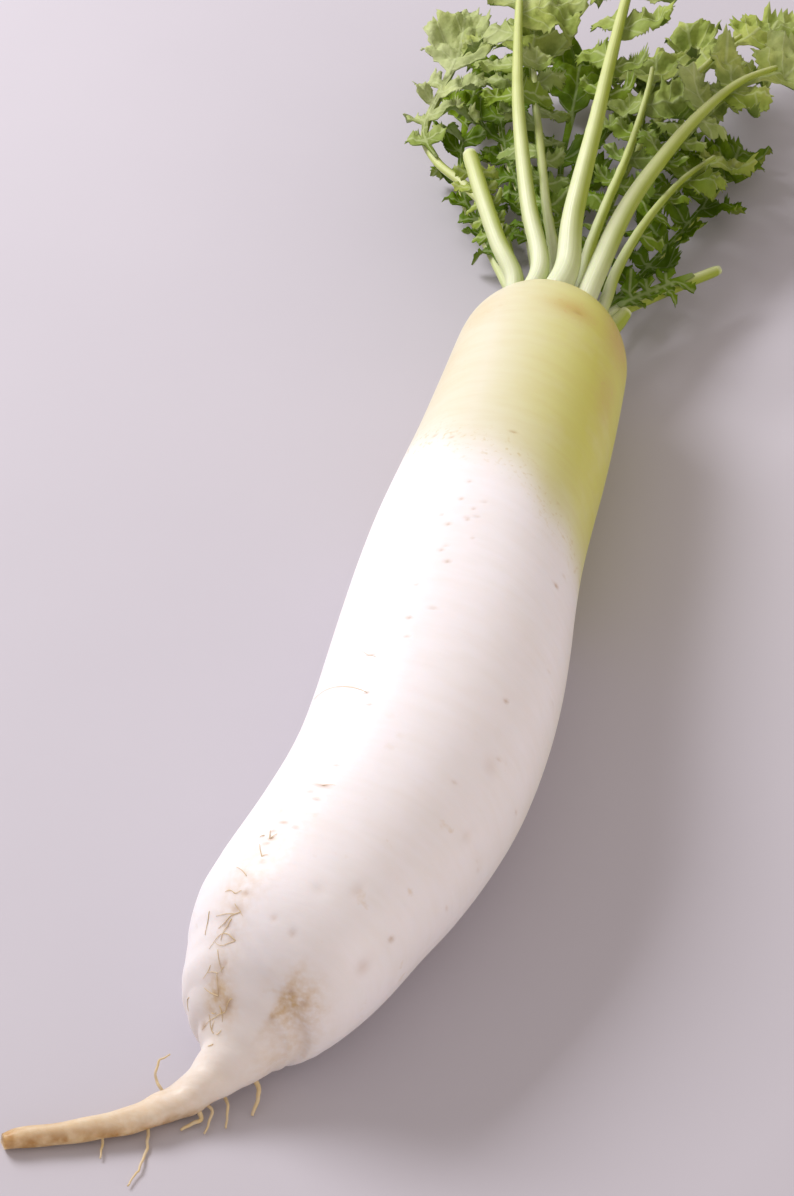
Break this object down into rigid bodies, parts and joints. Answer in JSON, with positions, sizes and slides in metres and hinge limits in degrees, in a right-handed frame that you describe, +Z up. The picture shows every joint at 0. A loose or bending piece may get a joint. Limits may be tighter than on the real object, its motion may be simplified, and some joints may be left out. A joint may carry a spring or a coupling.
{
  "type": "daikon radish",
  "caption": "Long white green-necked daikon radish lying on its side, with a bent tail, rootlets and a bunch of lobed leaves on pale stalks.",
  "frame": {"origin": "on the surface the radish lies on, under the thickest part of its root", "axes": "+Y along the root's length from the tail tip towards the leaves, +Z up from the surface, +X to the right seen from the tail"},
  "size_m": [0.1639, 0.6178, 0.0919],
  "materials": {
    "root": "satin",
    "stalk": "satin",
    "blade": "matte"
  },
  "bodies": {
    "root": {"root": "root", "leaf_1_stalk": "stalk", "leaf_1_blade": "blade", "leaf_2_stalk": "stalk", "leaf_2_blade": "blade", "leaf_3_stalk": "stalk", "leaf_3_blade": "blade", "leaf_4_stalk": "stalk", "leaf_4_blade": "blade", "leaf_5_stalk": "stalk", "leaf_5_blade": "blade", "leaf_6_stalk": "stalk", "leaf_6_blade": "blade", "leaf_7_stalk": "stalk", "leaf_7_blade": "blade", "leaf_8_stalk": "stalk", "leaf_8_blade": "blade", "leaf_9_stalk": "stalk", "leaf_9_blade": "blade", "leaf_10_stalk": "stalk", "leaf_10_blade": "blade", "leaf_11_stalk": "stalk", "leaf_11_blade": "blade", "leaf_12_stalk": "stalk", "leaf_12_blade": "blade", "cut_leaf_1_stalk": "stalk", "cut_leaf_1_leaflets": "blade", "cut_leaf_2_stalk": "stalk", "cut_leaf_2_leaflets": "blade", "cut_leaf_base": "stalk"}
  },
  "joints": []
}
